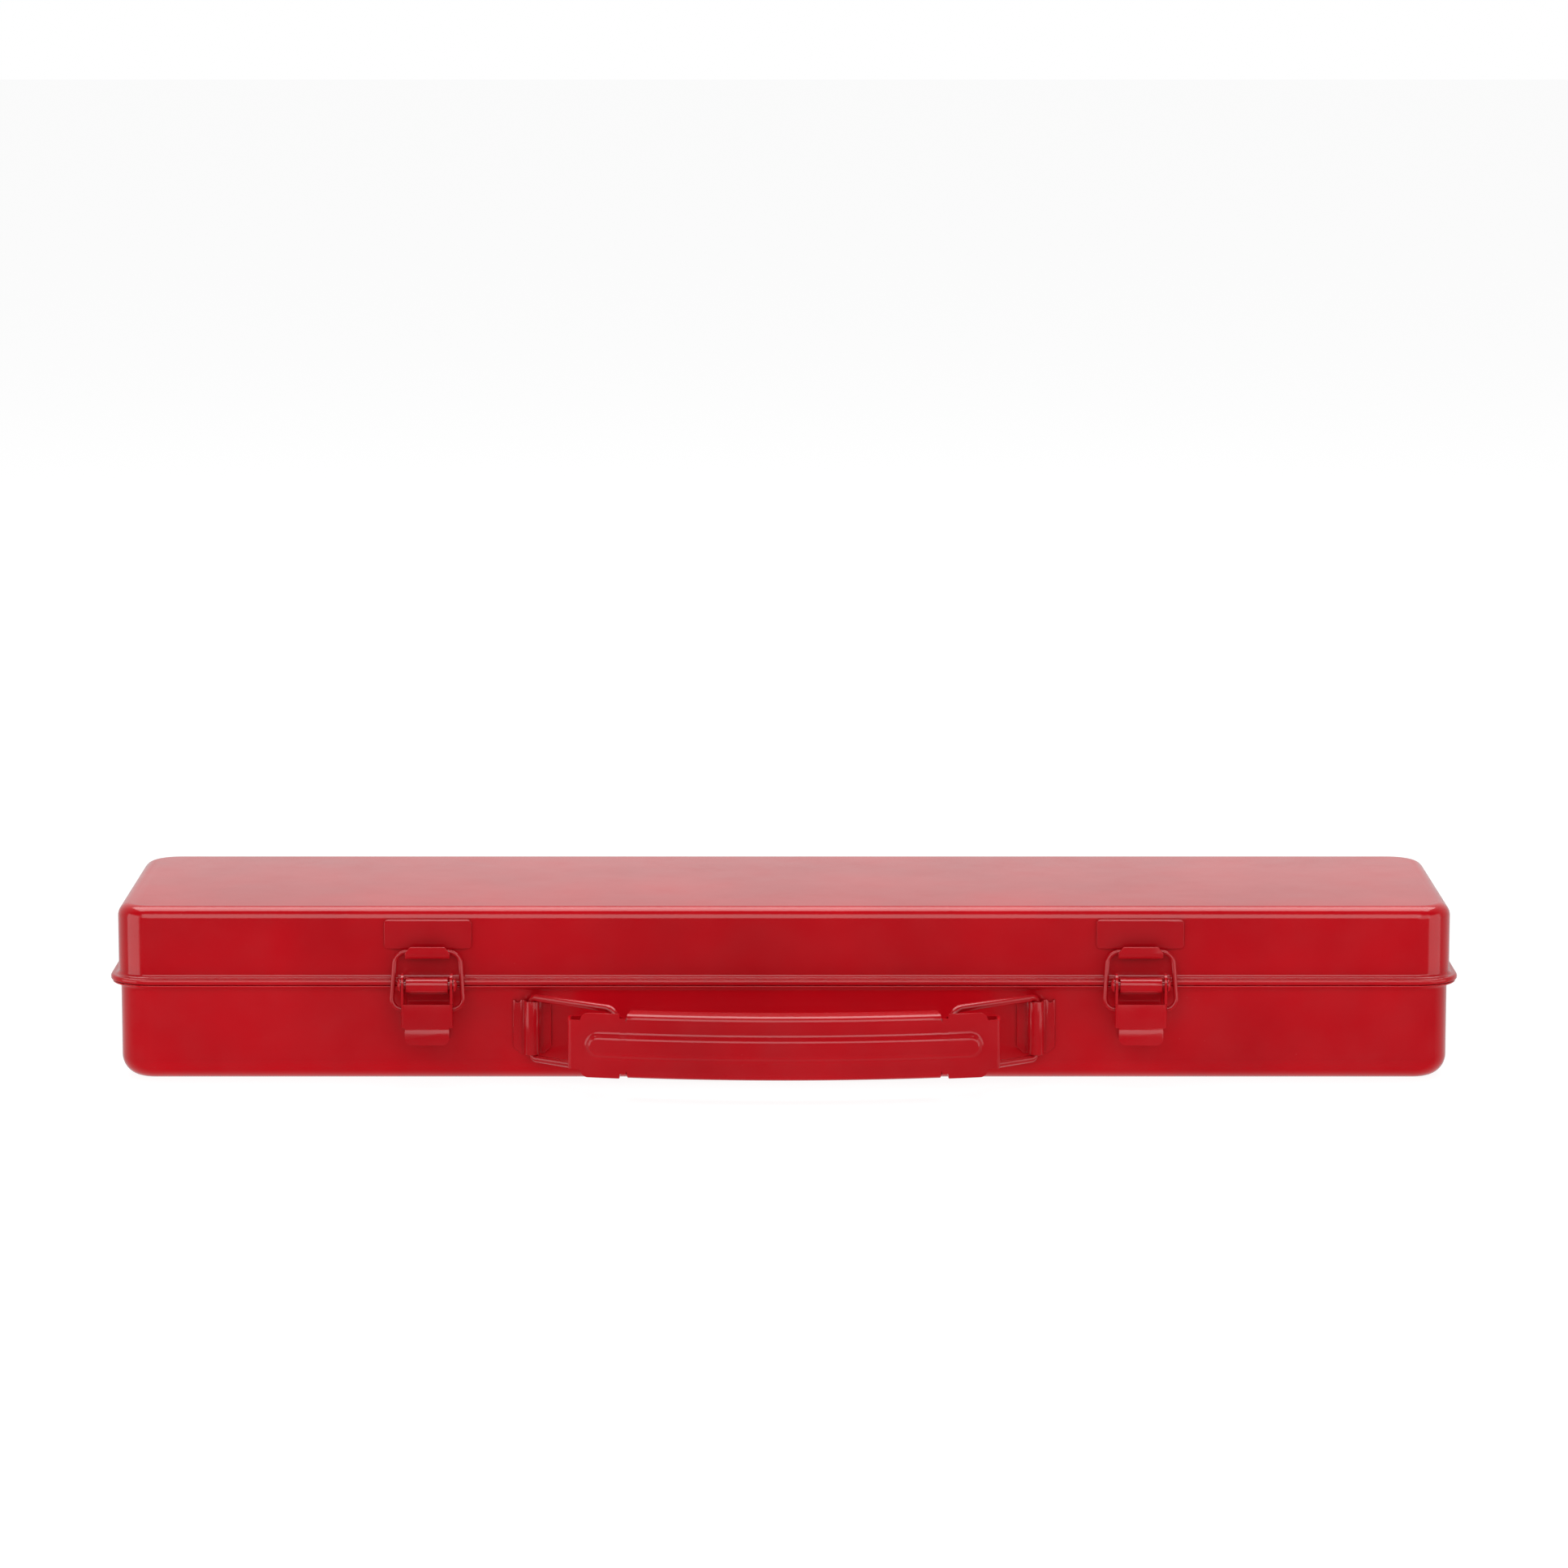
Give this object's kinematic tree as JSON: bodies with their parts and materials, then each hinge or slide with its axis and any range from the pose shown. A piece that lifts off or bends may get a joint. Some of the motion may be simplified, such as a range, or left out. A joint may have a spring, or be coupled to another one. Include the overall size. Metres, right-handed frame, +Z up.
{
  "type": "toolbox with tray",
  "caption": "Flat red enamelled steel toolbox: hinged lid, wire-loop latches, a bowed grip on wire rings and a lift-out tray inside.",
  "frame": {"origin": "middle of the base's flat bottom", "axes": "+X along the box's length to the right, +Y to the hinges at the back, +Z up"},
  "size_m": [0.47, 0.1563, 0.0612],
  "materials": {
    "shell_enamel": "glossy red enamel on pressed steel, light orange peel",
    "pressing_enamel": "glossy red enamel on small steel pressings",
    "wire_enamel": "glossy red enamel on steel wire",
    "inside_enamel": "red enamel, a little less glossy"
  },
  "bodies": {
    "base": {"base_shell": "shell_enamel", "tray_rest_left": "inside_enamel", "tray_rest_right": "inside_enamel", "hinge_base_leaf_left": "pressing_enamel", "hinge_base_leaf_right": "pressing_enamel", "hinge_pin_left": "pressing_enamel", "hinge_pin_right": "pressing_enamel", "latch_bracket_left": "pressing_enamel", "latch_bracket_right": "pressing_enamel", "latch_rivet_left": "pressing_enamel", "latch_rivet_right": "pressing_enamel", "handle_ear_left": "pressing_enamel", "handle_ear_right": "pressing_enamel"},
    "lid": {"lid_shell": "shell_enamel", "hinge_lid_leaf_left": "pressing_enamel", "hinge_lid_leaf_right": "pressing_enamel", "latch_strike_left": "pressing_enamel", "latch_strike_right": "pressing_enamel"},
    "tray": {"tray": "inside_enamel", "tray_lug_left": "inside_enamel", "tray_lug_right": "inside_enamel"},
    "lever_left": {"latch_lever_left": "pressing_enamel"},
    "loop_left": {"latch_loop_left": "wire_enamel"},
    "ring_left": {"handle_ring_left": "wire_enamel"},
    "lever_right": {"latch_lever_right": "pressing_enamel"},
    "loop_right": {"latch_loop_right": "wire_enamel"},
    "ring_right": {"handle_ring_right": "wire_enamel"},
    "grip": {"handle_grip": "pressing_enamel"}
  },
  "joints": [
    {"name": "lid_hinge", "type": "hinge", "parent": "base", "child": "lid", "pos_m": [0, 0.0605, 0.03435], "axis": [-1, 0, 0], "range_deg": [0, 110]},
    {"name": "tray_lift", "type": "slide", "parent": "base", "child": "tray", "axis": [0, 0, 1], "range_m": [0, 0.018]},
    {"name": "latch_lever_left_hinge", "type": "hinge", "parent": "base", "child": "lever_left", "pos_m": [-0.1235, -0.0624, 0.0353], "axis": [-1, 0, 0], "range_deg": [0, 85]},
    {"name": "latch_loop_left_hinge", "type": "hinge", "parent": "lever_left", "child": "loop_left", "pos_m": [-0.1235, -0.0616, 0.0268], "axis": [-1, 0, 0], "range_deg": [-53, 0]},
    {"name": "latch_lever_right_hinge", "type": "hinge", "parent": "base", "child": "lever_right", "pos_m": [0.1235, -0.0624, 0.0353], "axis": [-1, 0, 0], "range_deg": [0, 85]},
    {"name": "latch_loop_right_hinge", "type": "hinge", "parent": "lever_right", "child": "loop_right", "pos_m": [0.1235, -0.0616, 0.0268], "axis": [-1, 0, 0], "range_deg": [-53, 0]},
    {"name": "grip_pull", "type": "slide", "parent": "base", "child": "grip", "axis": [0, -1, 0], "range_m": [-0.0022, 0.0114]},
    {"name": "handle_ring_left_hinge", "type": "hinge", "parent": "base", "child": "ring_left", "pos_m": [-0.0875, -0.05755, 0.0195], "axis": [0, 0, -1], "range_deg": [-5.5, 27]},
    {"name": "handle_ring_right_hinge", "type": "hinge", "parent": "base", "child": "ring_right", "pos_m": [0.0875, -0.05755, 0.0195], "axis": [0, 0, 1], "range_deg": [-5.5, 27]}
  ],
  "couplings": [
    {"joint": "latch_loop_left_hinge", "follows": "latch_lever_left_hinge", "ratio": -0.62},
    {"joint": "latch_loop_right_hinge", "follows": "latch_lever_right_hinge", "ratio": -0.62},
    {"joint": "handle_ring_left_hinge", "follows": "grip_pull", "rad_per_m": 41},
    {"joint": "handle_ring_right_hinge", "follows": "grip_pull", "rad_per_m": 41}
  ]
}
